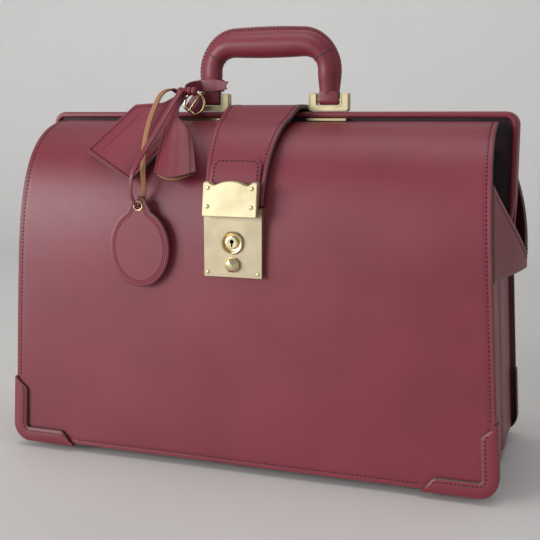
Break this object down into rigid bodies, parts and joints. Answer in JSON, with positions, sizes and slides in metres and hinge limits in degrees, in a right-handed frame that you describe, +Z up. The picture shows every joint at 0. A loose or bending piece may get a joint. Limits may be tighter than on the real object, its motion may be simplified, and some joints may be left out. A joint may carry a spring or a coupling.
{
  "type": "doctor bag",
  "caption": "Leather doctor bag with a hinged frame mouth, folding shoulders and gussets, lock strap with hasp, key lock, top handle and hanging leather tags.",
  "frame": {"origin": "on the surface the bag stands on, under the middle of its bounding box", "axes": "+X to the viewer's right along the bag's length, +Y from the lock side to the back, +Z up"},
  "size_m": [0.448, 0.1975, 0.3735],
  "materials": {
    "burgundy_leather": "smooth waxed cowhide with a soft sheen",
    "pale_brass": "polished pale gold plating",
    "steel": "plain",
    "lining_cloth": "woven",
    "fibre_board": "pressed fibre"
  },
  "bodies": {
    "body": {"front_panel_lower": "burgundy_leather", "back_panel_lower": "burgundy_leather", "gusset_left": "burgundy_leather", "gusset_right": "burgundy_leather", "corner_guard_front_left": "burgundy_leather", "corner_guard_front_right": "burgundy_leather", "corner_guard_back_left": "burgundy_leather", "corner_guard_back_right": "burgundy_leather", "base_panel": "burgundy_leather", "base_board": "fibre_board", "lining": "lining_cloth", "base_stud_front_left": "pale_brass", "base_stud_front_right": "pale_brass", "base_stud_back_left": "pale_brass", "base_stud_back_right": "pale_brass"},
    "front_shoulder": {"front_panel_upper": "burgundy_leather", "hood_front_left": "burgundy_leather", "hood_front_right": "burgundy_leather", "lock_plate": "pale_brass", "lock_case": "pale_brass", "lock_ring": "pale_brass"},
    "back_shoulder": {"back_panel_upper": "burgundy_leather", "hood_back_left": "burgundy_leather", "hood_back_right": "burgundy_leather"},
    "side_pivots": {"pivot_rivet_left": "pale_brass", "pivot_rivet_right": "pale_brass"},
    "front_frame": {"front_frame_bar": "burgundy_leather", "handle_bracket_left": "pale_brass", "handle_bracket_right": "pale_brass", "handle_pin_left": "pale_brass", "handle_pin_right": "pale_brass", "bracket_saddle_left": "pale_brass", "bracket_saddle_right": "pale_brass"},
    "back_frame": {"back_frame_bar": "burgundy_leather", "strap_tail": "burgundy_leather", "strap_rivet_left": "pale_brass", "strap_rivet_right": "pale_brass"},
    "strap": {"strap": "burgundy_leather", "strap_patch": "burgundy_leather", "hasp_plate": "pale_brass", "hasp_rivet_1": "pale_brass", "hasp_rivet_2": "pale_brass", "hasp_rivet_3": "pale_brass", "hasp_rivet_4": "pale_brass"},
    "handle": {"handle_grip": "burgundy_leather", "handle_tab_left": "burgundy_leather", "handle_tab_right": "burgundy_leather", "tag_belt": "burgundy_leather", "tag_strap": "burgundy_leather", "tag_buckle": "pale_brass"},
    "tag_hanger": {"tag_knot": "burgundy_leather"},
    "name_tag": {"name_tag": "burgundy_leather"},
    "key_bell": {"key_bell": "burgundy_leather"},
    "charm": {"charm_tag": "burgundy_leather", "charm_eyelet": "pale_brass", "charm_lace": "burgundy_leather"},
    "key_plug": {"key_plug": "pale_brass"},
    "lock_bolt": {"lock_bolt": "steel"},
    "release_button": {"release_button": "pale_brass"}
  },
  "joints": [
    {"name": "pivot_rise", "type": "slide", "parent": "body", "child": "side_pivots", "axis": [0, 0, 1], "range_m": [0, 0.0489]},
    {"name": "mouth", "type": "hinge", "parent": "side_pivots", "child": "front_frame", "pos_m": [0, 0.0062, 0.202], "axis": [1, 0, 0], "range_deg": [0, 40]},
    {"name": "back_frame_turn", "type": "hinge", "parent": "side_pivots", "child": "back_frame", "pos_m": [0, 0.0062, 0.202], "axis": [1, 0, 0], "range_deg": [-40.1, 0]},
    {"name": "front_shoulder_fold", "type": "hinge", "parent": "body", "child": "front_shoulder", "pos_m": [0, -0.0838, 0.163], "axis": [1, 0, 0], "range_deg": [0, 21.7]},
    {"name": "back_shoulder_fold", "type": "hinge", "parent": "body", "child": "back_shoulder", "pos_m": [0, 0.0962, 0.163], "axis": [1, 0, 0], "range_deg": [-21.7, 0]},
    {"name": "strap_lift", "type": "hinge", "parent": "back_frame", "child": "strap", "pos_m": [0, 0.0152, 0.30665], "axis": [1, 0, 0], "range_deg": [-28.1, 0]},
    {"name": "handle_turn", "type": "hinge", "parent": "front_frame", "child": "handle", "pos_m": [0, 0.0007, 0.3105], "axis": [-1, 0, 0], "range_deg": [0, 90]},
    {"name": "hanger_turn", "type": "hinge", "parent": "handle", "child": "tag_hanger", "pos_m": [0, -0.0274, 0.313], "axis": [-1, 0, 0], "range_deg": [-72.2, 0]},
    {"name": "name_tag_swing", "type": "hinge", "parent": "tag_hanger", "child": "name_tag", "pos_m": [0, -0.0274, 0.318], "axis": [1, 0, 0], "range_deg": [-18.5, 0]},
    {"name": "key_bell_swing", "type": "hinge", "parent": "tag_hanger", "child": "key_bell", "pos_m": [0, -0.0274, 0.318], "axis": [1, 0, 0], "range_deg": [-18.5, 0]},
    {"name": "charm_swing", "type": "hinge", "parent": "tag_hanger", "child": "charm", "pos_m": [0, -0.0274, 0.318], "axis": [1, 0, 0], "range_deg": [-18.5, 0]},
    {"name": "key_turn", "type": "hinge", "parent": "front_shoulder", "child": "key_plug", "pos_m": [0, -0.0888, 0.1962], "axis": [0, 1, 0], "range_deg": [0, 90]},
    {"name": "bolt_slide", "type": "slide", "parent": "front_shoulder", "child": "lock_bolt", "axis": [0, 0, 1], "range_m": [0, 0.0021]},
    {"name": "button_press", "type": "slide", "parent": "front_shoulder", "child": "release_button", "axis": [0, 1, 0], "range_m": [0, 0.0025], "stiffness_N_per_m": 400, "springref_m": -0.002}
  ],
  "couplings": [
    {"joint": "pivot_rise", "follows": "mouth", "m_per_rad": 0.0699},
    {"joint": "back_frame_turn", "follows": "mouth", "ratio": -1},
    {"joint": "front_shoulder_fold", "follows": "mouth", "ratio": 0.54},
    {"joint": "back_shoulder_fold", "follows": "mouth", "ratio": -0.54},
    {"joint": "strap_lift", "follows": "mouth", "ratio": -0.7},
    {"joint": "name_tag_swing", "follows": "mouth", "ratio": -0.46},
    {"joint": "key_bell_swing", "follows": "mouth", "ratio": -0.46},
    {"joint": "charm_swing", "follows": "mouth", "ratio": -0.46},
    {"joint": "hanger_turn", "follows": "handle_turn", "ratio": -0.8},
    {"joint": "bolt_slide", "follows": "key_turn", "m_per_rad": 0.00127}
  ]
}
